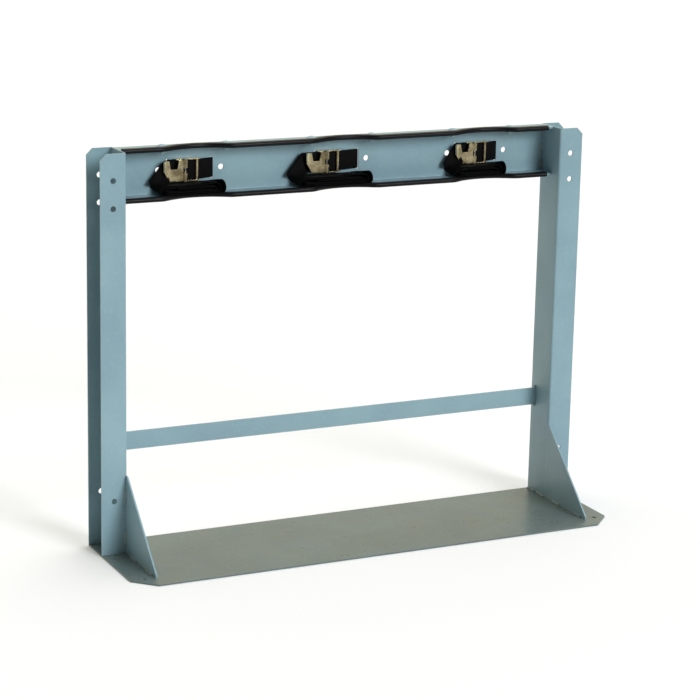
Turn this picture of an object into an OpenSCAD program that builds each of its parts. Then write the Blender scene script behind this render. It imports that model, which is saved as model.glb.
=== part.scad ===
// Three-place gas cylinder stand: welded sheet-steel frame with a strap rail.
// X runs left to right, Y from front to rear, Z up. The origin is on the floor,
// under the middle of the base plate. Millimetres.

/* [Frame] */
// Overall width across the two uprights
frame_w = 1016; // [700:1:1300]
// Depth of the base plate, front to rear
base_d = 267; // [220:1:340]
// Height of each upright above the base plate
upright_h = 765; // [600:1:1000]
// Thickness of the base plate
base_t = 3; // [2:0.1:8]
// Thickness of the uprights, gussets and rail
sheet_t = 3; // [2:0.1:5]

/* [Base plate] */
// Chamfer of each front corner
base_chamfer = 41; // [15:1:60]
// Diameter of each floor anchor hole
anchor_hole_d = 9.5; // [6:0.1:14]
// Anchor hole centre in from the side edge
anchor_edge_x = 26; // [15:0.5:45]
// Anchor hole centre in from the front edge
anchor_edge_y = 40; // [25:0.5:80]

/* [Uprights] */
// Width of each flange, web included
upright_flange_w = 50.8; // [40:0.1:70]
// Depth of each upright, front flange to rear flange
upright_d = 76; // [65:0.5:90]
// Chamfer of the outer top corner of each flange
upright_chamfer = 12; // [4:0.5:20]
// Outside radius of the sheet bends
bend_r = 4.5; // [3.5:0.1:6]
// Diameter of the fixing holes in the uprights and the rail
fixing_hole_d = 11; // [8:0.1:14]
// Fixing hole centre in from the flange's outer edge
fixing_edge_x = 25.4; // [18:0.1:30]
// Upper fixing holes, down from the top of the upright
upper_hole_drop = 50; // [25:1:60]
// Middle fixing holes, down from the top of the upright
middle_hole_drop = 102; // [80:1:140]
// Lower fixing holes, up from the floor
lower_hole_z = 107; // [60:1:160]

/* [Gussets] */
// Height of each gusset
gusset_h = 152; // [100:1:180]
// Bare plate in front of each gusset's toe
gusset_toe_gap = 34; // [5:1:60]
// Flat left at each gusset tip
gusset_tip = 6; // [3:0.5:12]

/* [Strap rail] */
// Height of the rail
rail_h = 96; // [80:1:120]
// Depth of the rail's flanges, web included
rail_d = 48; // [44:0.5:60]
// Rail set forward of the uprights' rear face, so that the webbing passes behind it
rail_setback = 2.5; // [2.5:0.1:6]
// Diameter of the largest cylinder that the recesses fit
cylinder_d = 230; // [190:1:280]
// Depth of each recess in the rail's front edge
recess_depth = 21; // [10:0.5:22]
// Radius that rounds a recess into the straight edge
recess_blend_r = 30; // [10:1:40]
// Radius of the flange corners at the rail's ends
rail_corner_r = 7; // [3:0.5:12]
// Spacing of the two fixing holes at each place
rail_hole_spacing = 127; // [115:0.5:160]
// Spacing of the two webbing slots at each place
slot_spacing = 89; // [80:0.5:108]
// Width of each webbing slot
slot_w = 5; // [4:0.1:7]
// Room at each end of a slot, above and below the webbing
slot_end_gap = 1; // [0.5:0.5:8]

/* [Lower rail] */
// Height of the flat bar
bar_h = 36; // [20:1:60]
// Thickness of the flat bar
bar_t = 3; // [2:0.1:8]
// Underside of the flat bar above the floor
bar_z = 188; // [160:1:260]
// Front face of the flat bar, forward of the uprights' rear face
bar_front = 20; // [10:0.5:50]

/* [Edge trim] */
// Height of the rubber edge trim
trim_h = 9.6; // [8:0.1:14]
// Rubber in front of the flange edge
trim_nose = 4; // [2:0.1:6]
// Grip of the trim over the flange
trim_grip = 7; // [4:0.5:10]
// Bare flange left of the trim
trim_gap_left = 2; // [1:0.5:30]
// Bare flange right of the trim
trim_gap_right = 14; // [1:0.5:30]

/* [Round-head bolts] */
// Head diameter
bolt_head_d = 21; // [16:0.5:26]
// Head height
bolt_head_h = 4.8; // [3:0.1:7]
// Shank diameter
bolt_d = 9.5; // [6:0.1:12]
// Nut width across flats
nut_af = 14.3; // [13:0.1:19]
// Nut thickness
nut_h = 8; // [5:0.1:11]

/* [Webbing and buckle] */
// Width of the webbing
web_w = 38; // [30:0.5:46]
// Thickness of the webbing
web_t = 1.5; // [1:0.1:1.6]
// Height of the folded tail that lies in the rail
bundle_h = 23; // [12:0.5:24]
// Depth of the folded tail
bundle_d = 36; // [25:0.5:40]
// Sheet thickness of the buckle frame
buckle_t = 1.5; // [1:0.1:1.8]
// Diameter of the pin that the cam lever turns on
cam_pin_d = 4; // [3:0.1:5]
// Diameter of the bar that guides the webbing into the buckle
guide_bar_d = 5; // [4:0.1:6]
// Length of the cam lever from its pin to the end of its thumb tab
lever_l = 44; // [38:0.5:56]
// Thickness of the cam lever's thumb tab
lever_t = 3; // [2:0.1:3.5]
// Width of the notch in the cam lever, at its bottom
lever_notch_w = 14; // [8:0.5:16]
// How much wider the notch is at its mouth, each side
lever_notch_flare = 3; // [0:0.5:4]
// Depth of the notch in the cam lever
lever_notch_h = 16; // [6:0.5:20]
// Size of the corner cut off the lever's free end
lever_corner = 12; // [2:0.5:16]

/* [Hidden] */
$fn = 48;

// Colours
steel_paint = [0.52, 0.64, 0.67];
plate_paint = [0.49, 0.55, 0.52];
rubber_black = [0.07, 0.07, 0.08];
webbing_black = [0.06, 0.05, 0.06];
zinc_plate = [0.72, 0.69, 0.60];
spring_steel = [0.55, 0.55, 0.57];

// Fits
slack = 0.02;        // so that cutters pass right through
run_fit = 0.05;      // radial clearance of the lever on its pin
body_gap = 0.3;      // clearance between the lever and what it passes
layer_gap = 0.2;     // air between webbing and metal

// Frame
rear_y = base_d / 2;
frame_top_z = base_t + upright_h;
web_inner_x = frame_w / 2 - upright_flange_w;
bend_in_r = max(0.5, bend_r - sheet_t);
gusset_l = base_d - upright_d - gusset_toe_gap;

// Rail: distances forward of the uprights' rear face
rail_l = 2 * web_inner_x;
bay_pitch = rail_l / 3;      // three equal cylinder places
slot_h = web_w + 2 * slot_end_gap;
rail_mid_z = frame_top_z - rail_h / 2;
rail_front = rail_setback + rail_d;
rail_web_front = rail_setback + sheet_t;
bolt_front = rail_setback + rail_d / 2;
recess_r = cylinder_d / 2;
// Each blend arc touches the straight edge and the recess arc
blend_x = sqrt(pow(recess_r + recess_blend_r, 2)
               - pow(recess_r - recess_depth + recess_blend_r, 2));
blend_angle = asin(blend_x / (recess_r + recess_blend_r));
ARC_STEPS = 8;

// Weld beads
weld_leg = 4;
weld_l = 30;
rail_weld_l = 17;
BASE_WELD_STARTS = [4, 42];      // along the upright's foot, from its rear face
GUSSET_WELD_STARTS = [30, 110];  // along the gusset's foot, from the upright
GUSSET_BEAD_Z = [20, 100];       // up the gusset's joint with the upright
rail_bead_step = rail_h / 3;     // up the rail's joint with the upright, either way from its middle

// Buckle: x from the middle of its place, distances forward of the uprights' rear face
BUCKLE_X = [0, -13, 5];          // where each loose buckle lies along its webbing
TAIL_TOP_X = [-61, -80, -58];    // left edge of each tail beside the lever
TAIL_LOW_X = [-88, -114, -80];   // left edge of each tail above the rail's floor
BUNDLE_END_X = [64, 66, 56];     // right end of each folded tail
frame_inner = web_w / 2 + 0.6;
frame_outer = frame_inner + buckle_t;
back_layer = rail_web_front + layer_gap + web_t / 2;      // sewn end, against the rail
fold_layer = back_layer + web_t + layer_gap;              // its end, folded back and sewn down
frame_back = fold_layer + web_t / 2 + layer_gap;
loop_layer = frame_back + buckle_t + layer_gap + web_t / 2;  // round the front of the plate's edge
cam_layer = loop_layer + web_t + layer_gap;               // free end, under the cam
cam_r = 7;
cam_drum_r = 5.6;
pin_x = -16;
pin_f = cam_layer + web_t / 2 + body_gap + cam_r;
pin_head_h = 1;
rivet_end = 0.8;       // how far the guide bar's riveted ends stand out of the buckle frame
guide_bar_x = 10;
guide_bar_f = cam_layer + web_t / 2 + layer_gap + guide_bar_d / 2;
frame_left_x = -33;
frame_right_x = guide_bar_x + guide_bar_d / 2 + 2.5;
plate_edge_x = -7;
anchor_x = plate_edge_x - 5.5 - web_t;    // middle of the plate's slot for the sewn loop
anchor_slot_w = 2 * web_t;
wall_front = guide_bar_f + guide_bar_d / 2 + 1.2;
ear_r = 5.2;
notch_x = -23;
behind_layer = rail_setback - layer_gap - web_t / 2;
tail_x = -50;
tail_d = 6;
bundle_bottom = -rail_h / 2 + sheet_t / 2 + trim_h / 2 + layer_gap;
bundle_top = min(bundle_bottom + bundle_h, -frame_outer - pin_head_h - layer_gap);
spring_half = 5.2;
spring_wire = 1;
spring_leg = 3;
spring_r = cam_pin_d / 2 + run_fit + 0.5 + spring_wire / 2;
SPRING_TURNS = 6;
SPRING_STEPS = 12;
SPRING_SIDES = 8;

// ---- helpers ----

// Moves a piece drawn from the uprights' rear face (y = 0, front at -y) into the frame
module from_rear() {
    translate([0, rear_y, 0]) children();
}

// Mirrors a right-hand piece to the left
module on_side(side) {
    mirror([side < 0 ? 1 : 0, 0, 0]) children();
}

// Round-cornered rectangle from the origin
module round_rect(w, d, r) {
    translate([r, 0]) square([w - 2 * r, d]);
    translate([0, r]) square([w, d - 2 * r]);
    for (x = [r, w - r], y = [r, d - r]) translate([x, y]) circle(r);
}

// Bent channel section: web along y at x = 0, flanges towards +x
module channel_section(flange, depth) {
    intersection() {
        difference() {
            round_rect(flange + 2 * bend_r, depth, bend_r);
            translate([sheet_t, sheet_t])
                round_rect(flange + 2 * bend_r, depth - 2 * sheet_t, bend_in_r);
        }
        square([flange, depth]);
    }
}

// Cylinder along y, from front to rear of the frame
module bore_y(d, x, z, y0, y1) {
    translate([x, y0 - slack, z]) rotate([-90, 0, 0]) cylinder(d = d, h = y1 - y0 + 2 * slack);
}

// Strip of webbing or rubber with a centre line in plan, thickness t
function unit(v) = v / norm(v);
function tangent(p, i) = unit(p[min(i + 1, len(p) - 1)] - p[max(i - 1, 0)]);
function side_point(p, i, s) = let (u = tangent(p, i)) p[i] + s * [-u[1], u[0]];
function strip_outline(p, s0, s1) = concat(
    [for (i = [0:len(p) - 1]) side_point(p, i, s0)],
    [for (i = [len(p) - 1:-1:0]) side_point(p, i, s1)]);
function arc(cx, cy, r, a0, a1, n) = [for (i = [0:n]) let (a = a0 + (a1 - a0) * i / n)
    [cx + r * cos(a), cy + r * sin(a)]];

// ---- base plate ----
module base_plate() {
    half = frame_w / 2;
    front = -base_d / 2;
    color(plate_paint)
    difference() {
        linear_extrude(base_t)
            polygon([[-half, rear_y], [-half, front + base_chamfer], [-half + base_chamfer, front],
                     [half - base_chamfer, front], [half, front + base_chamfer], [half, rear_y]]);
        for (s = [-1, 1])
            translate([s * (half - anchor_edge_x), front + anchor_edge_y, -slack])
                cylinder(d = anchor_hole_d, h = base_t + 2 * slack);
    }
}

// ---- uprights ----
module upright(side) {
    hole_x = frame_w / 2 - fixing_edge_x;
    color(steel_paint)
    from_rear() on_side(side)
    difference() {
        translate([web_inner_x, -upright_d, base_t])
            linear_extrude(upright_h) channel_section(upright_flange_w, upright_d);
        for (z = [lower_hole_z, frame_top_z - middle_hole_drop, frame_top_z - upper_hole_drop])
            bore_y(fixing_hole_d, hole_x, z, -upright_d, 0);
        translate([frame_w / 2, slack, frame_top_z])
            rotate([90, 0, 0])
                linear_extrude(upright_d + 2 * slack)
                    polygon([[slack, slack], [-upright_chamfer, slack], [-upright_chamfer, 0],
                             [0, -upright_chamfer], [slack, -upright_chamfer]]);
    }
}

// ---- gussets ----
// Flush with the upright's web; its rear edge is shaped to the upright's bend
module gusset(side) {
    color(steel_paint)
    from_rear() on_side(side)
    difference() {
        translate([web_inner_x + sheet_t, -upright_d, base_t])
            rotate([0, -90, 0])
                linear_extrude(sheet_t)
                    polygon([[0, bend_r], [gusset_h, bend_r], [gusset_h, -gusset_tip],
                             [gusset_tip, -gusset_l], [0, -gusset_l]]);
        translate([web_inner_x, -upright_d, 0])
            linear_extrude(frame_top_z) round_rect(upright_flange_w, upright_d, bend_r);
    }
}

// ---- strap rail ----
// Points of the rail's front edge about one place: out of the straight edge,
// round the recess and back
function recess_edge(cx) =
    let (cy = -(rail_front - recess_depth + recess_r), by = -(rail_front - recess_blend_r))
    concat(
        arc(cx - blend_x, by, recess_blend_r, -90, -90 + blend_angle, ARC_STEPS),
        arc(cx, cy, recess_r, 90 + blend_angle, 90 - blend_angle, 2 * ARC_STEPS),
        arc(cx + blend_x, by, recess_blend_r, -90 - blend_angle, -90, ARC_STEPS));
// Drops the doubled points where two arcs meet
function tidy_line(p) = [for (i = [0:len(p) - 1]) if (i == 0 || norm(p[i] - p[i - 1]) > 0.01) p[i]];
function front_edge(x0, x1) = tidy_line(concat(
    [[x0, -rail_front]], recess_edge(-bay_pitch), recess_edge(0), recess_edge(bay_pitch),
    [[x1, -rail_front]]));

module rail_plan() {
    half = rail_l / 2;
    r = rail_corner_r;
    polygon(concat([[-half, -rail_setback]],
                   arc(-half + r, -rail_front + r, r, 180, 270, ARC_STEPS),
                   front_edge(-half + 2 * r, half - 2 * r),
                   arc(half - r, -rail_front + r, r, 270, 360, ARC_STEPS),
                   [[half, -rail_setback]]));
}

module strap_rail() {
    color(steel_paint)
    from_rear()
    difference() {
        intersection() {
            translate([-rail_l / 2, -rail_setback, frame_top_z - rail_h])
                rotate([90, 0, 90])
                    linear_extrude(rail_l) mirror([1, 0]) channel_section(rail_d, rail_h);
            translate([0, 0, frame_top_z - rail_h]) linear_extrude(rail_h) rail_plan();
        }
        for (i = [-1:1], s = [-1, 1]) {
            hole_x = i * bay_pitch + s * rail_hole_spacing / 2;
            bore_y(fixing_hole_d, hole_x, rail_mid_z, -rail_web_front, -rail_setback);
            translate([hole_x, -bolt_front, frame_top_z - sheet_t - slack])
                cylinder(d = bolt_d, h = sheet_t + 2 * slack);
            translate([i * bay_pitch + s * slot_spacing / 2 - slot_w / 2, -rail_web_front - slack,
                       rail_mid_z - slot_h / 2])
                cube([slot_w, sheet_t + 2 * slack, slot_h]);
        }
    }
}

// ---- lower rail ----
module lower_rail() {
    color(steel_paint)
    from_rear()
    translate([-web_inner_x, -bar_front, bar_z]) cube([2 * web_inner_x, bar_t, bar_h]);
}

// ---- rubber edge trim, pressed over a rail flange whose underside is at flange_z ----
module edge_trim(flange_z) {
    line = front_edge(-rail_l / 2 + trim_gap_left, rail_l / 2 - trim_gap_right);
    color(rubber_black)
    from_rear()
    difference() {
        translate([0, 0, flange_z + (sheet_t - trim_h) / 2])
            linear_extrude(trim_h) polygon(strip_outline(line, -trim_nose, trim_grip));
        translate([0, 0, flange_z]) linear_extrude(sheet_t) rail_plan();
    }
}

// ---- bolts through the rail's top flange ----
module at_rail_bolts() {
    from_rear()
        for (i = [-1:1], s = [-1, 1])
            translate([i * bay_pitch + s * rail_hole_spacing / 2, -bolt_front, frame_top_z])
                children();
}

module rail_bolts() {
    dome_r = (pow(bolt_head_d / 2, 2) + pow(bolt_head_h, 2)) / (2 * bolt_head_h);
    color(steel_paint)
    at_rail_bolts() {
        intersection() {
            translate([0, 0, bolt_head_h - dome_r]) sphere(dome_r);
            cylinder(d = bolt_head_d, h = bolt_head_h);
        }
        translate([0, 0, -sheet_t - nut_h - 2]) cylinder(d = bolt_d, h = sheet_t + nut_h + 3);
    }
}

module rail_nuts() {
    color(steel_paint)
    at_rail_bolts()
        translate([0, 0, -sheet_t - nut_h])
            difference() {
                cylinder(d = nut_af / cos(30), h = nut_h, $fn = 6);
                translate([0, 0, -slack]) cylinder(d = bolt_d, h = nut_h + 2 * slack);
            }
}

// ---- weld beads ----
// Bead in a corner at the origin, legs towards -x and +z, running towards -y
module bead_forward(l) {
    rotate([90, 0, 0]) linear_extrude(l) polygon([[0, 0], [-weld_leg, 0], [0, weld_leg]]);
}
// Bead in a corner at the origin, legs towards -x and -y, running up
module bead_up(l) {
    linear_extrude(l) polygon([[0, 0], [-weld_leg, 0], [0, -weld_leg]]);
}

module base_welds() {
    color(steel_paint)
    from_rear()
    for (side = [-1, 1]) on_side(side) {
        for (y = BASE_WELD_STARTS)
            translate([web_inner_x, -y, base_t]) bead_forward(weld_l);
        for (y = GUSSET_WELD_STARTS) {
            translate([web_inner_x, -upright_d - y, base_t]) bead_forward(weld_l);
            translate([web_inner_x + sheet_t, -upright_d - y, base_t])
                mirror([1, 0, 0]) bead_forward(weld_l);
        }
    }
}

module gusset_welds() {
    color(steel_paint)
    from_rear()
    for (side = [-1, 1], z = GUSSET_BEAD_Z) on_side(side)
        translate([web_inner_x + sheet_t, -upright_d, z]) mirror([1, 0, 0]) bead_up(weld_l);
}

module rail_welds() {
    color(steel_paint)
    from_rear()
    for (side = [-1, 1], z = [-rail_bead_step, 0, rail_bead_step]) on_side(side)
        translate([web_inner_x, -rail_web_front, rail_mid_z + z - rail_weld_l / 2])
            bead_up(rail_weld_l);
}

module bar_welds() {
    color(steel_paint)
    from_rear()
    for (side = [-1, 1]) on_side(side) {
        translate([web_inner_x, -bar_front + bar_t, bar_z + bar_h]) bead_forward(bar_t);
        translate([web_inner_x, -bar_front + bar_t, bar_z]) mirror([0, 0, 1]) bead_forward(bar_t);
    }
}

// ---- webbing strap ----
// Puts a piece at one cylinder place: i is 0, 1 or 2 from the left
module at_place(i) {
    translate([(i - 1) * bay_pitch, rear_y, rail_mid_z]) children();
}

// Centre line in plan: from under the cam, past the guide bar and into the right slot,
// behind the rail, out of the left slot, round the edge of the buckle's plate, through its
// slot and back to where the end is sewn down
function strap_line(bx) =
    let (turn = web_t, half = slot_spacing / 2, wide = 2.5 * web_t,
         uturn = (loop_layer - back_layer) / 2, anchor = bx + anchor_x)
    concat(
        [[bx + tail_x, -cam_layer]],
        arc(half - wide, -cam_layer + wide, wide, -90, 0, 4),
        arc(half - turn, -behind_layer - turn, turn, 0, 90, 4),
        arc(-half + turn, -behind_layer - turn, turn, 90, 180, 4),
        arc(-half + turn, -back_layer + turn, turn, 180, 270, 4),
        arc(bx + plate_edge_x, -(loop_layer + back_layer) / 2, uturn, 90, -90, ARC_STEPS),
        arc(anchor + turn, -loop_layer + turn, turn, 270, 180, 4),
        arc(anchor - turn, -fold_layer - turn, turn, 0, 90, 4),
        [[bx + frame_left_x + 5, -fold_layer]]);

module strap(i) {
    bx = BUCKLE_X[i];
    color(webbing_black)
    at_place(i) {
        translate([0, 0, -web_w / 2])
            linear_extrude(web_w) polygon(strip_outline(strap_line(bx), -web_t / 2, web_t / 2));
        // the tail, hanging from under the lever
        translate([0, -cam_layer + web_t / 2, 0]) rotate([90, 0, 0])
            linear_extrude(tail_d)
                polygon([[bx + tail_x + 6, web_w / 2], [TAIL_TOP_X[i], web_w / 2],
                         [TAIL_LOW_X[i], bundle_top], [TAIL_LOW_X[i] + 8, bundle_bottom + 4],
                         [bx + tail_x + 6, bundle_bottom + 4]]);
        // the folded rest of the tail, lying in the rail
        translate([0, -rail_web_front - 1, 0]) rotate([90, 0, 0])
            linear_extrude(bundle_d) {
                r = (bundle_top - bundle_bottom) / 2;
                for (x = [TAIL_LOW_X[i] + r + 2, BUNDLE_END_X[i] - r])
                    translate([x, bundle_bottom + r]) circle(r);
                translate([TAIL_LOW_X[i] + r + 2, bundle_bottom])
                    square([BUNDLE_END_X[i] - TAIL_LOW_X[i] - 2 * r - 2, 2 * r]);
            }
    }
}

// ---- buckle ----
module buckle_frame(i) {
    color(zinc_plate)
    at_place(i) translate([BUCKLE_X[i], 0, 0]) {
        difference() {
            translate([frame_left_x, -frame_back - buckle_t, -frame_outer])
                cube([plate_edge_x - frame_left_x, buckle_t, 2 * frame_outer]);
            translate([anchor_x - anchor_slot_w / 2, -frame_back - buckle_t - slack, -frame_inner])
                cube([anchor_slot_w, buckle_t + 2 * slack, 2 * frame_inner]);
        }
        for (z = [-frame_outer, frame_inner])
            translate([0, 0, z]) linear_extrude(buckle_t) difference() {
                union() {
                    translate([frame_left_x, -wall_front])
                        square([frame_right_x - frame_left_x, wall_front - frame_back]);
                    translate([pin_x - ear_r, -pin_f]) square([2 * ear_r, pin_f - frame_back]);
                    translate([pin_x, -pin_f]) circle(ear_r);
                }
                translate([pin_x, -pin_f]) circle(d = cam_pin_d);
                translate([guide_bar_x, -guide_bar_f]) circle(d = guide_bar_d);
            }
    }
}

module guide_bar(i) {
    color(zinc_plate)
    at_place(i) translate([BUCKLE_X[i] + guide_bar_x, -guide_bar_f, 0])
        cylinder(d = guide_bar_d, h = 2 * (frame_outer + rivet_end), center = true);
}

module cam_pin(i) {
    color(zinc_plate)
    at_place(i) translate([BUCKLE_X[i] + pin_x, -pin_f, 0]) {
        cylinder(d = cam_pin_d, h = 2 * frame_outer + 1, center = true);
        for (s = [-1, 1])
            translate([0, 0, s * (frame_outer + pin_head_h / 2)])
                cylinder(d = cam_pin_d + 2.5, h = pin_head_h, center = true);
    }
}

// Thumb tab: a strip in plan that kicks outwards at its free end
function lever_line() = [[-lever_l, -6.4], [-lever_l + 4, -4.6], [-lever_l + 9, -3.4],
                         [-0.5 * lever_l, -2.4], [-cam_drum_r + 1, -2.1]];

module cam_lever(i) {
    half = frame_inner - 2 * body_gap;
    tab_end = spring_r + spring_wire / 2 + 0.6;
    color(zinc_plate)
    at_place(i) translate([BUCKLE_X[i] + pin_x, -pin_f, 0])
        difference() {
            union() {
                for (z = [-half, spring_half]) translate([0, 0, z])
                    linear_extrude(half - spring_half) {
                        circle(cam_drum_r);
                        intersection() {
                            circle(cam_r);
                            polygon([[0, 0], [-cam_r, 1.4 * cam_r], [cam_r, 1.4 * cam_r]]);
                        }
                        translate([-cam_drum_r, -2.1 - lever_t / 2]) square([cam_drum_r, lever_t]);
                    }
                translate([0, 0, -half])
                    linear_extrude(2 * half) intersection() {
                        polygon(strip_outline(lever_line(), -lever_t / 2, lever_t / 2));
                        translate([-2 * lever_l, -lever_l]) square([2 * lever_l - tab_end, lever_l]);
                    }
            }
            translate([0, 0, -half - slack])
                cylinder(r = cam_pin_d / 2 + run_fit, h = 2 * half + 2 * slack);
            rotate([90, 0, 0]) linear_extrude(lever_l) {
                notch = lever_notch_w / 2;
                mouth = notch + lever_notch_flare;
                polygon([[notch_x - mouth, half + slack], [notch_x - notch, half - lever_notch_h],
                         [notch_x + notch, half - lever_notch_h], [notch_x + mouth, half + slack]]);
                polygon([[-2 * lever_l, -half - slack], [lever_corner - lever_l, -half - slack],
                         [-lever_l, 1.5 * lever_corner - half], [-2 * lever_l, 1.5 * lever_corner - half]]);
            }
        }
}

// ---- torsion spring, a swept coil with a short leg at each end ----
function coil_point(k) =
    let (a = 90 + 360 * k / SPRING_STEPS, n = SPRING_TURNS * SPRING_STEPS,
         pitch = 2 * (spring_half - 0.4 - spring_wire / 2) / SPRING_TURNS)
    [spring_r * cos(a), spring_r * sin(a), (k - n / 2) / SPRING_STEPS * pitch];
function coil_line() =
    let (n = SPRING_TURNS * SPRING_STEPS, a = coil_point(0), b = coil_point(n))
    concat([a + [spring_leg, 0, 0]], [for (k = [0:n]) coil_point(k)], [b - [spring_leg, 0, 0]]);
function coil_ring(p, i) =
    let (t = unit(p[min(i + 1, len(p) - 1)] - p[max(i - 1, 0)]),
         u = unit(cross([0, 0, 1], t)), v = cross(t, u))
    [for (j = [0:SPRING_SIDES - 1]) let (a = 360 * j / SPRING_SIDES)
        p[i] + spring_wire / 2 * (cos(a) * u + sin(a) * v)];

module cam_spring(i) {
    p = coil_line();
    rings = len(p);
    s = SPRING_SIDES;
    points = [for (k = [0:rings - 1]) each coil_ring(p, k)];
    walls = [for (k = [0:rings - 2], j = [0:s - 1])
        [k * s + j, k * s + (j + 1) % s, (k + 1) * s + (j + 1) % s, (k + 1) * s + j]];
    ends = [[for (j = [s - 1:-1:0]) j], [for (j = [0:s - 1]) (rings - 1) * s + j]];
    color(spring_steel)
    at_place(i) translate([BUCKLE_X[i] + pin_x, -pin_f, 0])
        polyhedron(points, concat(walls, ends));
}

base_plate();
upright(-1);  // left_upright
upright(1);  // right_upright
gusset(-1);  // left_gusset
gusset(1);  // right_gusset
strap_rail();
lower_rail();
edge_trim(frame_top_z - sheet_t);  // top_edge_trim
edge_trim(frame_top_z - rail_h);  // bottom_edge_trim
rail_bolts();
rail_nuts();
base_welds();
gusset_welds();
rail_welds();
bar_welds();
strap(0);  // left_strap
strap(1);  // middle_strap
strap(2);  // right_strap
buckle_frame(0);  // left_buckle_frame
buckle_frame(1);  // middle_buckle_frame
buckle_frame(2);  // right_buckle_frame
guide_bar(0);  // left_guide_bar
guide_bar(1);  // middle_guide_bar
guide_bar(2);  // right_guide_bar
cam_pin(0);  // left_cam_pin
cam_pin(1);  // middle_cam_pin
cam_pin(2);  // right_cam_pin
cam_lever(0);  // left_cam_lever
cam_lever(1);  // middle_cam_lever
cam_lever(2);  // right_cam_lever
cam_spring(0);  // left_cam_spring
cam_spring(1);  // middle_cam_spring
cam_spring(2);  // right_cam_spring
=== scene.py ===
"""Looks for a three-place gas cylinder stand: painted sheet steel, rubber edge trims,
woven straps and zinc-plated cam buckles. Metres; X right, Y to the rear, Z up."""
import math
import random

import bpy
from mathutils import Matrix, Vector


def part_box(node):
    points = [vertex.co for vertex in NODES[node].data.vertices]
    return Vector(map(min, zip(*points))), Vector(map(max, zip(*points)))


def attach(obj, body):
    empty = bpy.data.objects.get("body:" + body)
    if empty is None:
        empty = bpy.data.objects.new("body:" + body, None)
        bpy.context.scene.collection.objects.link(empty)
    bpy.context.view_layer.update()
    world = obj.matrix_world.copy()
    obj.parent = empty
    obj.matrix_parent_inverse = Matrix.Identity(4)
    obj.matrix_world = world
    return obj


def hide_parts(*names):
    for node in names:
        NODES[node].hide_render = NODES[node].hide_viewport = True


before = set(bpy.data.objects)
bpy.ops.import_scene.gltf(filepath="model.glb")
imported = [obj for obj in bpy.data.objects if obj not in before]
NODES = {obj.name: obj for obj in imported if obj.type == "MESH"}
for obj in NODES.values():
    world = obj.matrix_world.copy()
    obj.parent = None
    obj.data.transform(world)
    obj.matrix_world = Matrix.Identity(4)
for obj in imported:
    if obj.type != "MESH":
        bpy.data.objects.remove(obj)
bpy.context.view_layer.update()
PLACES = ("left", "middle", "right")
MM = 0.001
X, Y, Z = Vector((1, 0, 0)), Vector((0, 1, 0)), Vector((0, 0, 1))


# ---- camera ----
CAMERA_TARGET = Vector((0.0402, 0.1335, 0.3360))
CAMERA_AZIMUTH = math.radians(-25.948)
CAMERA_ELEVATION = math.radians(14.103)
CAMERA_ROLL = math.radians(1.192)
CAMERA_DISTANCE = 4.7124
CAMERA_LENS = 122.49     # mm, on the sensor below
SENSOR_WIDTH = 36
CLIP_END = 60


def make_camera():
    """Looks at the stand from the front left, a little above it."""
    data = bpy.data.cameras.new("camera")
    data.lens = CAMERA_LENS
    data.sensor_width = SENSOR_WIDTH
    data.clip_end = CLIP_END
    camera = bpy.data.objects.new("camera", data)
    bpy.context.scene.collection.objects.link(camera)
    back = Vector((math.sin(CAMERA_AZIMUTH) * math.cos(CAMERA_ELEVATION),
                   -math.cos(CAMERA_AZIMUTH) * math.cos(CAMERA_ELEVATION),
                   math.sin(CAMERA_ELEVATION)))
    right = Z.cross(back).normalized()
    up = back.cross(right)
    cos_roll, sin_roll = math.cos(CAMERA_ROLL), math.sin(CAMERA_ROLL)
    axes = (cos_roll * right + sin_roll * up, cos_roll * up - sin_roll * right, back)
    turn = Matrix(axes).transposed().to_4x4()
    camera.matrix_world = Matrix.Translation(CAMERA_TARGET + back * CAMERA_DISTANCE) @ turn
    bpy.context.scene.camera = camera


make_camera()


# ---- nodes and colours ----
def colour(code):
    """sRGB hex value as a linear colour with alpha."""
    channels = [int(code[i:i + 2], 16) / 255 for i in (0, 2, 4)]
    linear = [c / 12.92 if c <= 0.04045 else ((c + 0.055) / 1.055) ** 2.4 for c in channels]
    return linear + [1.0]


def put(tree, node, inputs):
    """Sets a node's inputs, each to a value or to another node's output."""
    for key, value in inputs.items():
        if isinstance(value, bpy.types.NodeSocket):
            tree.links.new(value, node.inputs[key])
        else:
            node.inputs[key].default_value = value


def add(tree, kind, inputs=None, **settings):
    """Adds a node with its settings and inputs."""
    node = tree.nodes.new(kind)
    for name, value in settings.items():
        setattr(node, name, value)
    put(tree, node, inputs or {})
    return node


def new_material(name):
    """Empty material with a Principled shader wired to its output."""
    material = bpy.data.materials.new(name)
    material.use_nodes = True
    tree = material.node_tree
    tree.nodes.clear()
    shader = add(tree, "ShaderNodeBsdfPrincipled")
    add(tree, "ShaderNodeOutputMaterial", {"Surface": shader.outputs["BSDF"]})
    return material, tree, shader


def on_object(tree):
    """The object's own coordinates."""
    return add(tree, "ShaderNodeTexCoord").outputs["Object"]


def noise(tree, place, size, detail=1.0):
    """Noise whose features are about that size in metres."""
    return add(tree, "ShaderNodeTexNoise",
               {"Vector": place, "Scale": 1 / size, "Detail": detail}).outputs["Fac"]


def from_range(tree, value, low, high):
    """Low to high as 0 to 1."""
    return add(tree, "ShaderNodeMapRange",
               {"Value": value, "From Min": low, "From Max": high}).outputs["Result"]


def to_range(tree, value, low, high):
    """0 to 1 as low to high."""
    return add(tree, "ShaderNodeMapRange",
               {"Value": value, "To Min": low, "To Max": high}).outputs["Result"]


def blotches(tree, place, size, detail=3.0, low=0.35, high=0.65):
    """Soft patches of about that size in metres, from 0 to 1."""
    return from_range(tree, noise(tree, place, size, detail), low, high)


def product(tree, first, second):
    """One value times another."""
    return add(tree, "ShaderNodeMath", {0: first, 1: second}, operation="MULTIPLY").outputs[0]


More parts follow.
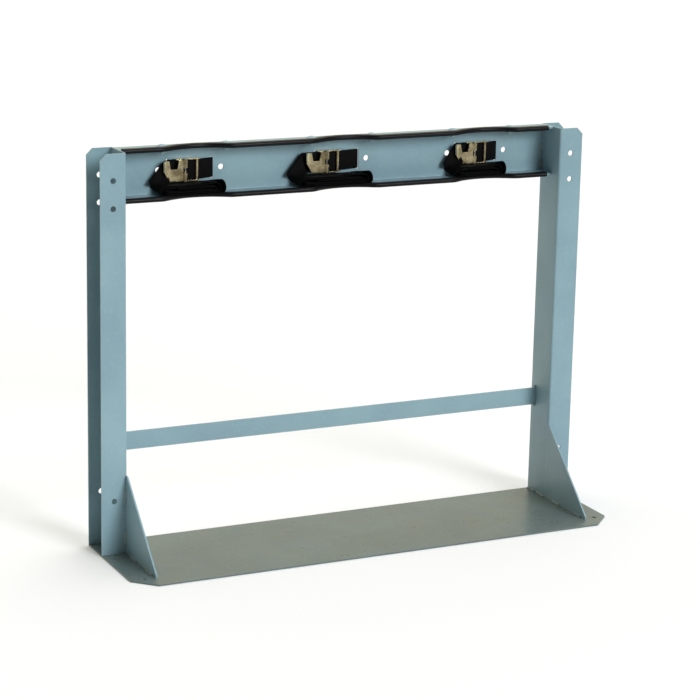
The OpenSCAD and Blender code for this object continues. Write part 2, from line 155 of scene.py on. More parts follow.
def mixed(tree, factor, first, second):
    """Colour between two others."""
    return add(tree, "ShaderNodeMix", {"Factor": factor, "A": first, "B": second},
               data_type="RGBA").outputs["Result"]


def bumps(tree, height, depth, before=None):
    """Bump of that depth in metres, on top of an earlier one."""
    inputs = {"Height": height, "Distance": depth}
    if before is not None:
        inputs["Normal"] = before
    return add(tree, "ShaderNodeBump", inputs).outputs["Normal"]


# ---- materials ----
TONE_SIZE, STAIN_SIZE, SHEEN_SIZE, CHIP_SIZE, SPECK_SIZE = 0.14, 0.09, 0.05, 0.018, 0.006
SPECK_SHARE, CHIP_SHARE = 0.10, 0.55
WORN_RADIUS = 1.2 * MM                    # how far from a sharp edge the enamel is rubbed
WORN_FROM, WORN_FULL = 0.995, 0.93        # cosines between the face and the rounded edge
WAVE_SIZE, PEEL_SIZE, PEEL_DEPTH = 0.11, 0.005, 0.025 * MM
ENAMEL_IOR = 1.5
STAIN_COLOUR = "666B5E"


def enamel(name, main, shade, worn, wave_depth, gloss, stain=0.0):
    """Alkyd enamel sprayed on mild-steel sheet: semi-gloss with orange peel, the sheet's own
    faint waves in its reflections, uneven colour, and rubbed lighter along its edges."""
    material, tree, shader = new_material(name)
    place = on_object(tree)
    tone = mixed(tree, blotches(tree, place, TONE_SIZE), colour(main), colour(shade))
    specks = product(tree, blotches(tree, place, SPECK_SIZE, 2.0, 0.52, 0.74), SPECK_SHARE)
    specked = mixed(tree, specks, tone, colour(worn))
    rounded = add(tree, "ShaderNodeBevel", {"Radius": WORN_RADIUS}, samples=4).outputs["Normal"]
    normal = add(tree, "ShaderNodeNewGeometry").outputs["Normal"]
    flat = add(tree, "ShaderNodeVectorMath", {0: rounded, 1: normal}, operation="DOT_PRODUCT")
    edge = from_range(tree, flat.outputs["Value"], WORN_FROM, WORN_FULL)
    chipped = product(tree, edge, blotches(tree, place, CHIP_SIZE, 4.0, 0.45, 0.6))
    result = mixed(tree, product(tree, chipped, CHIP_SHARE), specked, colour(worn))
    if stain:
        dirt = product(tree, blotches(tree, place, STAIN_SIZE, 3.0, 0.3, 0.7), stain)
        result = mixed(tree, dirt, result, colour(STAIN_COLOUR))
    waves = bumps(tree, noise(tree, place, WAVE_SIZE), wave_depth)
    peel = bumps(tree, noise(tree, place, PEEL_SIZE), PEEL_DEPTH, waves)
    rough = to_range(tree, blotches(tree, place, SHEEN_SIZE, 4.0), gloss - 0.05, gloss + 0.07)
    put(tree, shader, {"Base Color": result, "Roughness": rough, "Normal": peel,
                       "IOR": ENAMEL_IOR})
    return material


def edge_rubber():
    """Extruded EPDM: near black, satin, with faint die lines and a dusty bloom."""
    material, tree, shader = new_material("extruded_epdm_rubber")
    place = on_object(tree)
    bloom = mixed(tree, blotches(tree, place, 0.03), colour("070609"), colour("0F0E12"))
    rough = to_range(tree, blotches(tree, place, 0.012), 0.3, 0.42)
    along = add(tree, "ShaderNodeMapping",
                {"Vector": place, "Scale": (8, 8, 900)}).outputs["Vector"]
    lines = bumps(tree, noise(tree, along, 1.0), 0.08 * MM)
    put(tree, shader, {"Base Color": bloom, "Roughness": rough, "Normal": lines,
                       "Specular IOR Level": 0.14})
    return material


RIB_WIDTH, END_WIDTH = 3.0 * MM, 2.4 * MM
WAVE_SCALE = 2 * math.pi / 20             # the wave texture's scale for bands one metre wide


def webbing_cloth():
    """Woven polypropylene webbing: filament yarns, ribbed across, with fuzzed patches and a
    slight sheen. The rib is 1.6 mm on the real weave and is drawn wider so that it shows."""
    material, tree, shader = new_material("woven_polypropylene_webbing")
    strip = add(tree, "ShaderNodeUVMap", uv_map="weave").outputs["UV"]
    ribs = add(tree, "ShaderNodeTexWave", {"Vector": strip, "Scale": WAVE_SCALE / RIB_WIDTH,
               "Distortion": 0.6, "Detail": 1.0, "Detail Scale": 2.0}, bands_direction="X")
    ends = add(tree, "ShaderNodeTexWave", {"Vector": strip, "Scale": WAVE_SCALE / END_WIDTH},
               bands_direction="Y")
    weave = product(tree, ribs.outputs["Fac"], ends.outputs["Fac"])
    base = mixed(tree, weave, colour("030303"), colour("0A080A"))
    fuzz = product(tree, blotches(tree, strip, 0.03), 0.35)
    put(tree, shader, {"Base Color": mixed(tree, fuzz, base, colour("0F0D0F")),
                       "Roughness": 0.75, "Specular IOR Level": 0.1,
                       "Sheen Weight": 0.01, "Sheen Roughness": 0.4,
                       "Normal": bumps(tree, weave, 0.25 * MM)})
    return material


def plated(name, bright, dull, low, high):
    """Bare or zinc-plated steel: bright metal with shallow marks, cloudy patches and a
    slightly soft reflection."""
    material, tree, shader = new_material(name)
    place = on_object(tree)
    tone = mixed(tree, blotches(tree, place, 0.02, 2.0), colour(bright), colour(dull))
    rough = to_range(tree, blotches(tree, place, 0.004), low, high)
    marks = bumps(tree, noise(tree, place, 7 * MM), 0.05 * MM)
    put(tree, shader, {"Base Color": tone, "Metallic": 1.0, "Roughness": rough,
                       "Normal": marks})
    return material


PAINT = enamel("semi_gloss_alkyd_enamel", "86A5AF", "7E9CA8", "B4C4C4", 0.5 * MM, 0.34)
# The floor plate's enamel is the frame's enamel made darker as painted shade, with real stains in
# random patches on top.
PLATE_PAINT_WITH_PAINTED_SHADE = enamel("stained_plate_enamel_with_painted_shade", "5E6F72", "566669", "7E8981", 0.5 * MM, 0.31, 0.35)
# The weld beads' enamel is the frame's enamel made darker as painted shade, which dims the light
# the beads catch.
SHADED_BEAD_PAINT = enamel("enamel_over_weld_beads_with_painted_shade", "7A9094", "6F8589", "A9B0A6", 0.3 * MM, 0.36)
RUBBER = edge_rubber()
WEBBING = webbing_cloth()
ZINC = plated("straw_zinc_plate", "E0D2AC", "9C9070", 0.2, 0.3)
SPRING = plated("drawn_spring_steel", "A8A59C", "7C7A74", 0.2, 0.36)


# ---- where things are, from the frame ----
rail_low, rail_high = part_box("strap_rail")
rear_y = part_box("left_upright")[1].y
rail_mid_z = (rail_low.z + rail_high.z) / 2
rail_length = rail_high.x - rail_low.x
place_pitch = rail_length / len(PLACES)


def spot(place, x, forward, z):
    """Point at a cylinder place: right of its middle, forward of the uprights' rear face and
    above the rail's middle, all in millimetres."""
    return Vector(((place - 1) * place_pitch + x * MM, rear_y - forward * MM, rail_mid_z + z * MM))


# ---- meshes and node trees ----
def mesh_object(name, points, faces, material, smooth=True):
    """New object at the origin with its place in its mesh."""
    mesh = bpy.data.meshes.new(name)
    mesh.from_pydata([tuple(p) for p in points], [], faces)
    mesh.materials.append(material)
    mesh.polygons.foreach_set("use_smooth", [smooth] * len(mesh.polygons))
    piece = bpy.data.objects.new(name, mesh)
    bpy.context.scene.collection.objects.link(piece)
    return piece


def line_object(name, lines, closed=False):
    """Object of plain edges, one chain for each list of points."""
    points, edges = [], []
    for line in lines:
        first = len(points)
        points += [tuple(p) for p in line]
        edges += [(first + i, first + i + 1) for i in range(len(line) - 1)]
        if closed:
            edges.append((len(points) - 1, first))
    mesh = bpy.data.meshes.new(name)
    mesh.from_pydata(points, edges, [])
    lines_object = bpy.data.objects.new(name, mesh)
    bpy.context.scene.collection.objects.link(lines_object)
    return lines_object


def new_tree(name, **sockets):
    """Geometry node tree with a Geometry input, named inputs and a Geometry output."""
    tree = bpy.data.node_groups.new(name, "GeometryNodeTree")
    tree.interface.new_socket("Geometry", in_out="INPUT", socket_type="NodeSocketGeometry")
    for socket, kind in sockets.items():
        tree.interface.new_socket(socket, in_out="INPUT", socket_type="NodeSocket" + kind)
    tree.interface.new_socket("Geometry", in_out="OUTPUT", socket_type="NodeSocketGeometry")
    return tree, tree.nodes.new("NodeGroupInput").outputs


def give_tree(piece, name, tree, **values):
    """Puts a tree on a piece and sets the named inputs."""
    modifier = piece.modifiers.new(name, "NODES")
    modifier.node_group = tree
    for item in tree.interface.items_tree:
        if item.in_out == "INPUT" and item.name in values:
            modifier[item.identifier] = values[item.name]
    return modifier


def grow(name, lines, tree, **values):
    """Runs a tree over lines and leaves the plain mesh that it makes."""
    piece = line_object(name, lines)
    modifier = give_tree(piece, "make", tree, **values)
    evaluated = piece.evaluated_get(bpy.context.evaluated_depsgraph_get())
    mesh = bpy.data.meshes.new_from_object(evaluated)
    piece.modifiers.remove(modifier)
    piece.data = mesh
    return piece


def finish_tree(tree, geometry, material):
    """Ends a tree with real geometry in that material."""
    done = add(tree, "GeometryNodeSetMaterial", {"Geometry": geometry, "Material": material})
    add(tree, "NodeGroupOutput", {"Geometry": done.outputs["Geometry"]})


def swept_tree():
    """Sweeps a closed profile along each line."""
    tree, given = new_tree("extrusion_along_a_path", Profile="Object", Material="Material")
    shape = add(tree, "GeometryNodeObjectInfo", {"Object": given["Profile"]})
    outline = add(tree, "GeometryNodeMeshToCurve", {"Mesh": shape.outputs["Geometry"]})
    path = add(tree, "GeometryNodeMeshToCurve", {"Mesh": given["Geometry"]})
    upright = add(tree, "GeometryNodeSetCurveNormal", {"Curve": path.outputs["Curve"]},
                  mode="Z_UP")
    body = add(tree, "GeometryNodeCurveToMesh", {"Curve": upright.outputs["Curve"],
               "Profile Curve": outline.outputs["Curve"], "Fill Caps": True})
    made = add(tree, "GeometryNodeRealizeInstances", {"Geometry": body.outputs["Mesh"]})
    finish_tree(tree, made.outputs["Geometry"], given["Material"])
    return tree


def row_tree():
    """Sets small rounded grains in a row along each line: the ripples of a weld."""
    tree, given = new_tree("grains_along_a_line", Spacing="Float", Length="Float", Width="Float",
                           Height="Float", Unevenness="Float", Seed="Int", Material="Material")
    path = add(tree, "GeometryNodeMeshToCurve", {"Mesh": given["Geometry"]})
    points = add(tree, "GeometryNodeResampleCurve", {"Curve": path.outputs["Curve"],
                 "Length": given["Spacing"]}, mode="LENGTH")
    size = add(tree, "ShaderNodeCombineXYZ", {"X": given["Length"], "Y": given["Width"],
                                              "Z": given["Height"]})
    grain = add(tree, "GeometryNodeMeshUVSphere", {"Segments": 12, "Rings": 7, "Radius": 0.5})
    along = add(tree, "FunctionNodeAlignRotationToVector",
                {"Vector": add(tree, "GeometryNodeInputTangent").outputs["Tangent"]}, axis="X")
    least = add(tree, "ShaderNodeMath", {0: 1.0, 1: given["Unevenness"]}, operation="SUBTRACT")
    most = add(tree, "ShaderNodeMath", {0: 1.0, 1: given["Unevenness"]}, operation="ADD")
    spread = add(tree, "FunctionNodeRandomValue", {2: least.outputs[0], 3: most.outputs[0],
                                                   "Seed": given["Seed"]}, data_type="FLOAT")
    scaled = add(tree, "ShaderNodeVectorMath", {0: size.outputs["Vector"],
                 "Scale": spread.outputs[1]}, operation="SCALE")
    grains = add(tree, "GeometryNodeInstanceOnPoints", {"Points": points.outputs["Curve"],
                 "Instance": grain.outputs["Mesh"], "Rotation": along.outputs["Rotation"],
                 "Scale": scaled.outputs["Vector"]})
    made = add(tree, "GeometryNodeRealizeInstances", {"Geometry": grains.outputs["Instances"]})
    smooth = add(tree, "GeometryNodeSetShadeSmooth", {"Geometry": made.outputs["Geometry"]})
    finish_tree(tree, smooth.outputs["Geometry"], given["Material"])
    return tree


SWEPT = swept_tree()
ROW = row_tree()


# ---- sheet-steel parts: the CAD nodes, with softened edges ----
JOIN_DISTANCE = 0.002 * MM
SMOOTH_BELOW = math.radians(32)
FLAT_WITHIN = math.radians(0.5)
SHARP_ABOVE = math.radians(40)


def soften_tree():
    """Joins a CAD mesh's loose triangles and smooths its gentle edges only."""
    tree, given = new_tree("joined_faces", Angle="Float")
    joined = add(tree, "GeometryNodeMergeByDistance", {"Geometry": given["Geometry"],
                                                       "Distance": JOIN_DISTANCE})
    bare = add(tree, "GeometryNodeRemoveAttribute", {"Geometry": joined.outputs["Geometry"],
                                                     "Name": "custom_normal"})
    corner = add(tree, "GeometryNodeInputMeshEdgeAngle").outputs["Unsigned Angle"]
    gentle = add(tree, "FunctionNodeCompare", {0: corner, 1: given["Angle"]},
                 data_type="FLOAT", operation="LESS_THAN")
    faces = add(tree, "GeometryNodeSetShadeSmooth", {"Geometry": bare.outputs["Geometry"],
                                                     "Shade Smooth": True}, domain="FACE")
    edges = add(tree, "GeometryNodeSetShadeSmooth", {"Geometry": faces.outputs["Geometry"],
                "Shade Smooth": gentle.outputs["Result"]}, domain="EDGE")
    add(tree, "NodeGroupOutput", {"Geometry": edges.outputs["Geometry"]})
    return tree


SOFTEN = soften_tree()


def finish_node(name, material, edge):
    """Gives a CAD node its material and rounds its sharp edges by that many millimetres."""
    piece = NODES[name]
    piece.data.materials.clear()
    piece.data.materials.append(material)
    for polygon in piece.data.polygons:
        polygon.material_index = 0
    give_tree(piece, "join", SOFTEN, Angle=SMOOTH_BELOW)
    if edge:
        flat = piece.modifiers.new("whole faces", "DECIMATE")
        flat.decimate_type = "DISSOLVE"
        flat.angle_limit = FLAT_WITHIN
        rounding = piece.modifiers.new("rounded edges", "BEVEL")
        rounding.width = edge * MM
        rounding.segments = 2
        rounding.limit_method = "ANGLE"
        rounding.angle_limit = SHARP_ABOVE
        rounding.harden_normals = True


for node in ("left_upright", "right_upright", "left_gusset", "right_gusset", "strap_rail",
             "lower_rail"):
    finish_node(node, PAINT, 0.5)
finish_node("base_plate", PLATE_PAINT_WITH_PAINTED_SHADE, 0.6)
finish_node("rail_bolts", PAINT, 0.3)
finish_node("rail_nuts", PAINT, 0.4)
for place in PLACES:
    finish_node(place + "_buckle_frame", ZINC, 0.3)
    finish_node(place + "_guide_bar", ZINC, 0.3)
    finish_node(place + "_cam_pin", ZINC, 0.25)
    finish_node(place + "_cam_lever", ZINC, 0.4)
    finish_node(place + "_cam_spring", SPRING, 0)


# ---- rubber edge trims ----
RECESS_RADIUS = 115 * MM      # fits a 230 mm cylinder
RECESS_DEPTH = 21 * MM
BLEND_RADIUS = 30 * MM
TRIM_GAP_LEFT = 2 * MM
TRIM_GAP_RIGHT = 14 * MM
TRIM_HEIGHT = 9.6 * MM
TRIM_NOSE = 4 * MM
TRIM_GRIP = 7 * MM
TRIM_CORNER = 1.2 * MM
SLIT_CLEARANCE = 0.05 * MM    # above and below the flange
SLIT_AHEAD = 0.1 * MM         # from the flange's edge to the slit's end
TRIM_SMOOTH_BELOW = math.radians(50)
SHEET = 3 * MM


def arc(x, y, radius, start, end, steps):
    """Points on an arc in plan, angles in degrees."""
    turns = [math.radians(start + (end - start) * i / steps) for i in range(steps + 1)]
    return [Vector((x + radius * math.cos(a), y + radius * math.sin(a), 0)) for a in turns]


def recess(x, edge_y):
    """Plan of the rail's front edge round one recess, blended into the straight edge."""
    centre_y = edge_y + RECESS_DEPTH - RECESS_RADIUS
    reach = RECESS_RADIUS + BLEND_RADIUS
    half = math.sqrt(reach ** 2 - (reach - RECESS_DEPTH) ** 2)
    lean = math.degrees(math.asin(half / reach))
    return (arc(x - half, edge_y + BLEND_RADIUS, BLEND_RADIUS, -90, -90 + lean, 10)[:-1]
            + arc(x, centre_y, RECESS_RADIUS, 90 + lean, 90 - lean, 24)
            + arc(x + half, edge_y + BLEND_RADIUS, BLEND_RADIUS, -90 - lean, -90, 10)[1:])


def trim_profile():
    """Cross-section with a round nose and a slit for the flange: x forward of the edge, y up."""
    half, slit = TRIM_HEIGHT / 2, SHEET / 2 + SLIT_CLEARANCE
    heel_x, heel_y = -TRIM_GRIP + TRIM_CORNER, half - TRIM_CORNER
    nose = arc(TRIM_NOSE - half, 0, half, -90, 90, 16)
    heel_top = arc(heel_x, heel_y, TRIM_CORNER, 90, 180, 4)
    heel_low = arc(heel_x, -heel_y, TRIM_CORNER, 180, 270, 4)
    mouth = [Vector((-TRIM_GRIP, slit, 0)), Vector((SLIT_AHEAD, slit, 0)),
             Vector((SLIT_AHEAD, -slit, 0)), Vector((-TRIM_GRIP, -slit, 0))]
    return nose + heel_top + mouth + heel_low


def make_trims():
    """One trim on each flange's front edge, stopping short of the rail's right end."""
    profile = line_object("trim_profile", [trim_profile()], closed=True)
    edge_y = rail_low.y
    plan = [Vector((rail_low.x + TRIM_GAP_LEFT, edge_y, 0))]
    for i in range(len(PLACES)):
        plan += recess((i - 1) * place_pitch, edge_y)
    plan.append(Vector((rail_high.x - TRIM_GAP_RIGHT, edge_y, 0)))
    for node, z in (("top_edge_trim", rail_high.z - SHEET / 2),
                    ("bottom_edge_trim", rail_low.z + SHEET / 2)):
        trim = grow(node.replace("edge_trim", "rubber_edging"), [[p + z * Z for p in plan]], SWEPT,
                    Profile=profile, Material=RUBBER)
        trim.data.polygons.foreach_set("use_smooth", [True] * len(trim.data.polygons))
        trim.data.set_sharp_from_angle(angle=TRIM_SMOOTH_BELOW)
        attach(trim, "frame")
        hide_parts(node)
    bpy.data.objects.remove(profile)


make_trims()


# ---- weld beads ----
BEAD_INSET = 0.35             # from the bead's corner towards the middle of its section
BEAD_MARGIN = 2 * MM          # from the bead's end to its first ripple
RIPPLE_SPACING = 1.7 * MM
RIPPLE_LENGTH = 4.2 * MM
RIPPLE_WIDTH = 6.2 * MM       # kept small enough to stay inside the floor plate
RIPPLE_UNEVENNESS = 0.07


def point_key(point):
    """Rounded coordinates, the same for points that coincide."""
    return tuple(round(c, 5) for c in point)


def bead_lines(node):
    """The corner line of each bead in a CAD weld node, found from its solids' ends."""
    mesh = NODES[node].data
    owner = {key: key for key in (point_key(vertex.co) for vertex in mesh.vertices)}

    def root(key):
        while owner[key] != key:
            key = owner[key]
        return key

    for polygon in mesh.polygons:
        keys = [point_key(mesh.vertices[i].co) for i in polygon.vertices]
        for key in keys[1:]:
            owner[root(key)] = root(keys[0])
    solids = {}
    for key in owner:
        solids.setdefault(root(key), []).append(Vector(key))
    lines = []
    for points in solids.values():
        spans = [max(p[a] for p in points) - min(p[a] for p in points) for a in range(3)]
        axis = spans.index(max(spans))
        low = min(p[axis] for p in points)
        end = [p for p in points if abs(p[axis] - low) < MM]
        corner = min(end, key=lambda p: sum((q - p).length for q in end))
        middle = sum(end, Vector()) / len(end)
        inset = corner.lerp(middle, BEAD_INSET)
        far = inset.copy()
        far[axis] += spans[axis]
        margin = (far - inset).normalized() * BEAD_MARGIN
        lines.append([inset + margin, far - margin])
    return lines


def make_welds():
    """Overlapping ripples along each bead, as a wire-fed weld leaves them under the paint."""
    for seed, node in enumerate(("base_welds", "gusset_welds", "rail_welds", "bar_welds")):
        beads = grow(node.replace("welds", "weld_beads"), bead_lines(node), ROW,
                     Spacing=RIPPLE_SPACING, Length=RIPPLE_LENGTH, Width=RIPPLE_WIDTH,
                     Height=RIPPLE_WIDTH, Unevenness=RIPPLE_UNEVENNESS, Seed=seed,
                     Material=SHADED_BEAD_PAINT)
        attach(beads, "frame")
        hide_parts(node)


make_welds()


# ---- webbing straps ----
WEB_WIDTH = 38 * MM
WEB_THICKNESS = 1.5 * MM
FRAME_STEP = 2.5 * MM              # between sections along the webbing
CLOSEST_FRAMES = 0.25 * MM
# Half of the webbing's section, from its left edge over the top, as shares of width and thickness
SECTION_TOP = ((-0.5, 0.0), (-0.49, 0.34), (-0.46, 0.46), (-0.25, 0.49),
               (0.0, 0.5), (0.25, 0.49), (0.46, 0.46), (0.49, 0.34))
SECTION = SECTION_TOP + tuple((-w, -h) for w, h in SECTION_TOP)


def turned(points, radius, steps=6):
    """Rounds each inner corner of a route in plan (x, forward) by a short curve."""
    route = [points[0]]
    for before, corner, after in zip(points, points[1:], points[2:]):
        a, b = (before - corner), (after - corner)
        reach = min(radius, a.length / 2.05, b.length / 2.05)
        start, end = corner + a.normalized() * reach, corner + b.normalized() * reach
        for i in range(steps + 1):
            t = i / steps
            route.append(start.lerp(corner, t).lerp(corner.lerp(end, t), t))
    route.append(points[-1])
    return route


def smooth_route(keys, steps):
    """Catmull-Rom curve through (point, width direction) pairs."""
    frames = []
    for i in range(len(keys) - 1):
        near = [keys[max(0, min(len(keys) - 1, i + k))] for k in (-1, 0, 1, 2)]
        for s in range(steps):
            t = s / steps
            weights = (-0.5 * t + t * t - 0.5 * t ** 3, 1 - 2.5 * t * t + 1.5 * t ** 3,
                       0.5 * t + 2 * t * t - 1.5 * t ** 3, -0.5 * t * t + 0.5 * t ** 3)
            point = sum((w * k[0] for w, k in zip(weights, near)), Vector())
            across = sum((w * k[1] for w, k in zip(weights, near)), Vector())
            frames.append((point, across))
    frames.append(keys[-1])
    return frames


def even_frames(frames):
    """The same route without frames that nearly coincide, and with long gaps filled."""
    kept = [frames[0]]
    for frame_now in frames[1:-1]:
        if (frame_now[0] - kept[-1][0]).length > CLOSEST_FRAMES:
            kept.append(frame_now)
    kept.append(frames[-1])
    full = [kept[0]]
    for a, b in zip(kept, kept[1:]):
        count = max(1, round((b[0] - a[0]).length / FRAME_STEP))
        full += [(a[0].lerp(b[0], i / count), a[1].lerp(b[1], i / count))
                 for i in range(1, count + 1)]
    return full


def ribbon(name, frames):
    """Strip of webbing along frames of (middle, width direction), with rolled selvedges. Its
    "weave" map is in metres: along the webbing and across it."""
    points, faces, lengths, run = [], [], [], 0.0
    for i, (middle, across) in enumerate(frames):
        ahead = frames[min(i + 1, len(frames) - 1)][0] - frames[max(i - 1, 0)][0]
        run += (middle - frames[i - 1][0]).length if i else 0
        lengths.append(run)
        up = ahead.cross(across).normalized()
        points += [middle + across * (w * WEB_WIDTH) + up * (h * WEB_THICKNESS) for w, h in SECTION]
    n = len(SECTION)
    for i in range(len(frames) - 1):
        faces += [(i * n + k, i * n + (k + 1) % n, (i + 1) * n + (k + 1) % n, (i + 1) * n + k)
                  for k in range(n)]
    faces.append(tuple(range(n - 1, -1, -1)))
    last = (len(frames) - 1) * n
    faces.append(tuple(last + k for k in range(n)))
    strip = mesh_object(name, points, faces, WEBBING)
    layer = strip.data.uv_layers.new(name="weave")
    for polygon in strip.data.polygons:
        for corner in polygon.loop_indices:
            index = strip.data.loops[corner].vertex_index
            layer.data[corner].uv = (lengths[index // n], SECTION[index % n][0] * WEB_WIDTH)
    return strip, run


# Millimetres from here on: the band's layers, forward of the uprights' rear face
BEHIND_LAYER, BACK_LAYER, FOLD_LAYER, LOOP_LAYER, CAM_LAYER = 1.55, 6.45, 8.15, 11.55, 13.25
SLOT_X = 44.5
SLOT_MOUTH = 4.6                   # where the band leaves the right slot
PULLED_X = (1.6, 1.0, 1.6)         # how far right of the slot's middle each band is pulled
BUCKLE_X = (0, -13, 5)             # where each loose buckle lies, right of its place's middle
SEWN_END_X, PLATE_EDGE_X, ANCHOR_X = -28, -7.0, -14.0       # from the buckle's own middle
GUIDE_BAR_X, CAM_X = 10.0, -34
TURN_RADIUS = 2.4


def band_keys(place):
    """From the sewn end through the plate's slot and round its edge, in at the rail's left slot,
    behind the rail, out at the right slot, behind the guide bar and under the cam."""
    bx, right = BUCKLE_X[place], SLOT_X + PULLED_X[place]
    round_edge = bx + PLATE_EDGE_X + (LOOP_LAYER - BACK_LAYER) / 2
    plan = [Vector(p) for p in (
        (bx + SEWN_END_X, FOLD_LAYER), (bx + ANCHOR_X, FOLD_LAYER), (bx + ANCHOR_X, LOOP_LAYER),
        (round_edge, LOOP_LAYER), (round_edge, BACK_LAYER), (-SLOT_X, BACK_LAYER),
        (-SLOT_X, BEHIND_LAYER), (right, BEHIND_LAYER), (right - 0.2, SLOT_MOUTH),
        (bx + GUIDE_BAR_X + 3, CAM_LAYER), (bx + CAM_X, CAM_LAYER))]
    return [(spot(place, p.x, p.y, 0), Z) for p in turned(plan, TURN_RADIUS)]


# Free end by place: the diagonal fold's edge at the top and at the bottom of the webbing, then
# the left and right ends and the top of the flat roll that the rest lies in
TAILS = ((-55, -85, -90, 60, -24.5), (-78, -109, -112, 62, -25.5), (-53, -77, -80, 51, -23.0))
FOLD_RADIUS = 2.2
FOLD_STEPS = 8
ROLL_FORWARD = 24.5                # middle of the roll's width


def tail_keys(place):
    """Left from the cam, folded over itself on the slant, and down to the rail's floor."""
    top, low, left, _, _ = TAILS[place]
    slant = math.atan((top - low) * MM / WEB_WIDTH)
    ruling = Vector((math.tan(slant), 0, 1))
    normal = Vector((-math.cos(slant), 0, math.sin(slant)))
    down = Vector((math.cos(2 * slant), 0, -math.sin(2 * slant)))
    start = spot(place, (top + low) / 2 + FOLD_RADIUS, CAM_LAYER + 1.5, 0)
    cam = spot(place, BUCKLE_X[place] + CAM_X, CAM_LAYER, 0)
    keys = [(start.lerp(cam, 1 - t), Z.lerp(ruling, t)) for t in (0.35, 0.7)]
    for i in range(FOLD_STEPS + 1):
        turn = math.pi * i / FOLD_STEPS
        offset = (normal * math.sin(turn) - Y * (1 - math.cos(turn))
                  - ruling * math.cos(slant) * math.tan(slant) * turn) * FOLD_RADIUS * MM
        keys.append((start + offset, ruling))
    folded = keys[-1][0]
    across = Vector((math.sin(2 * slant), 0, math.cos(2 * slant)))
    keys += [(folded + (down * 9 - Y * 1.5) * MM, across.lerp(ruling, 0.3)),
             (folded + (down * 19 - Y * 5) * MM, (across * 0.8 - 0.5 * Y).normalized()),
             (spot(place, left + 17, ROLL_FORWARD - 2, -31), (0.35 * X - Y).normalized()),
             (spot(place, left + 21, ROLL_FORWARD, -40), -Y)]
    return keys


ROLL_BOTTOM = -44.0
ROLL_PITCH = 3.3
ROLL_START, ROLL_START_STEP, ROLL_END_STEP = 34, 4, 8       # each turn is shorter by the steps
ROLL_NOSE, ROLL_NOSE_STEP, ROLL_HEEL = 10.0, 1.5, 9         # length of the right and left ends
ROLL_LIFT = (1.0, 0.6, 0.0)        # how much the front of each turn's right end stands up
LIFT_HEIGHT, LIFT_LEAN = 3, 0.22
LIFT_START, LIFT_LENGTH = 4, 26    # right of the buckle
WAVE_HEIGHT, WAVE_LENGTH = 0.3, 15
ROLL_SEED = 11


def roll_keys(place):
    """The spare webbing, rolled flat on the rail's floor from the outside in."""
    _, _, left, right, top = TAILS[place]
    draw = random.Random(ROLL_SEED + place)
    keys = []
    for turn, lift in enumerate(ROLL_LIFT):
        low, high = ROLL_BOTTOM + turn * ROLL_PITCH, top - turn * ROLL_PITCH
        start = left + ROLL_START + turn * ROLL_START_STEP
        end = right - turn * ROLL_END_STEP - draw.uniform(0, 3)
        forward = ROLL_FORWARD + draw.uniform(-1.0, 1.0)
        tall, long = (high - low) / 2, ROLL_NOSE - ROLL_NOSE_STEP * turn
        for i in range(8):
            x = start + (end - long - start) * i / 8
            wave = WAVE_HEIGHT * math.sin(x / WAVE_LENGTH)
            keys.append((spot(place, x, forward, low + wave), -Y))
        for i in range(9):
            a = math.radians(-90 + 180 * i / 8)
            rise = lift * max(0, math.sin(a))
            z = (low + high) / 2 + tall * math.sin(a) + LIFT_HEIGHT * rise
            keys.append((spot(place, end - long + long * math.cos(a), forward, z),
                         LIFT_LEAN * rise * Z - Y))
        heel_x = left + ROLL_START + turn * ROLL_START_STEP
        for i in range(1, 8):
            x = end - long + (heel_x - end + long) * i / 8
            rise = lift * min(1, max(0, (x - BUCKLE_X[place] - LIFT_START) / LIFT_LENGTH))
            wave = WAVE_HEIGHT * math.sin(x / WAVE_LENGTH)
            keys.append((spot(place, x, forward, high + wave + LIFT_HEIGHT * rise),
                         LIFT_LEAN * rise * Z - Y))
        if turn == len(ROLL_LIFT) - 1:
            break
        inner_low = low + ROLL_PITCH
        for i in range(7):
            a = math.radians(90 + 180 * i / 6)
            middle, tall_left = (inner_low + high) / 2, (high - inner_low) / 2
            keys.append((spot(place, heel_x + ROLL_HEEL * math.cos(a), forward,
                              middle + tall_left * math.sin(a)), -Y))
    return keys


def make_straps():
    """One strap at each place: the band round the rail, then the spare length."""
    for i, place in enumerate(PLACES):
        route = band_keys(i) + smooth_route(tail_keys(i) + roll_keys(i), 4)
        strap, length = ribbon(place + "_webbing_strap", even_frames(route))
        print(place, "webbing", round(length, 3), "m")
        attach(strap, "frame")
        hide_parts(place + "_strap")


make_straps()


# ---- floor, world and lights ----
TABLE_WHITE, FLOOR_GREY = (0.87, 0.88, 0.91, 1), (0.22, 0.22, 0.21, 1)
TABLE_LEFT, TABLE_FRONT, TABLE_FADE = -1.1, -1.3, 1.2
FLOOR_HALF, FLOOR_Z = 20, -0.0003
LEFT_WALL, RIGHT_WALL = (0.24, 0.22, 0.18, 1), (0.20, 0.21, 0.22, 1)
BACK_WALL = (0.80, 0.73, 0.52, 1)
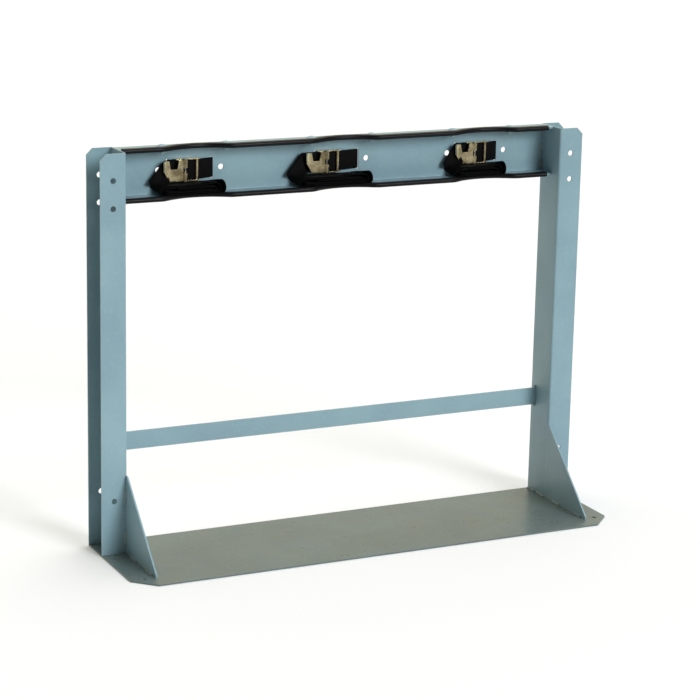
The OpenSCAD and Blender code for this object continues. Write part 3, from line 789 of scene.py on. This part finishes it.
# Name, direction it comes from, spread in degrees, strength, colour
LIGHTS = (("key_light", (0.30, -0.90, 0.38), 26, 2.25, (0.97, 0.99, 1.0)),
          ("top_light", (0.25, 0.35, 1.0), 70, 2.0, (1.0, 1.0, 0.98)))


def make_floor():
    """White table top, darker to the left of the table and in front."""
    material, tree, shader = new_material("white_laminate_table")
    at = add(tree, "ShaderNodeSeparateXYZ", {"Vector": on_object(tree)})
    across = from_range(tree, at.outputs["X"], TABLE_LEFT - TABLE_FADE, TABLE_LEFT)
    deep = from_range(tree, at.outputs["Y"], TABLE_FRONT - TABLE_FADE, TABLE_FRONT)
    top = mixed(tree, product(tree, across, deep), FLOOR_GREY, TABLE_WHITE)
    put(tree, shader, {"Base Color": top, "Roughness": 0.9, "Specular IOR Level": 0.0})
    corners = [(x * FLOOR_HALF, y * FLOOR_HALF, FLOOR_Z)
               for x, y in ((-1, -1), (1, -1), (1, 1), (-1, 1))]
    floor = mesh_object("floor", corners, [(0, 1, 2, 3)], material, smooth=False)


def make_world():
    """Dim studio with a warm wall behind the stand."""
    world = bpy.data.worlds.new("studio")
    bpy.context.scene.world = world
    world.use_nodes = True
    tree = world.node_tree
    tree.nodes.clear()
    way = add(tree, "ShaderNodeSeparateXYZ",
              {"Vector": add(tree, "ShaderNodeTexCoord").outputs["Generated"]})
    walls = mixed(tree, from_range(tree, way.outputs["X"], -0.9, 0.9), LEFT_WALL, RIGHT_WALL)
    room = mixed(tree, from_range(tree, way.outputs["Y"], 0.1, 0.7), walls, BACK_WALL)
    light = add(tree, "ShaderNodeBackground", {"Color": room, "Strength": 1.0})
    add(tree, "ShaderNodeOutputWorld", {"Surface": light.outputs["Background"]})


def make_lights():
    """Soft key light from the front right and a wide one from above."""
    for name, toward, spread, strength, tint in LIGHTS:
        data = bpy.data.lights.new(name, "SUN")
        data.angle = math.radians(spread)
        data.energy = strength
        data.color = tint
        lamp = bpy.data.objects.new(name, data)
        lamp.rotation_euler = Vector(toward).to_track_quat("Z", "Y").to_euler()
        bpy.context.scene.collection.objects.link(lamp)


make_floor()
make_world()
make_lights()
bpy.context.scene.view_settings.view_transform = "Standard"
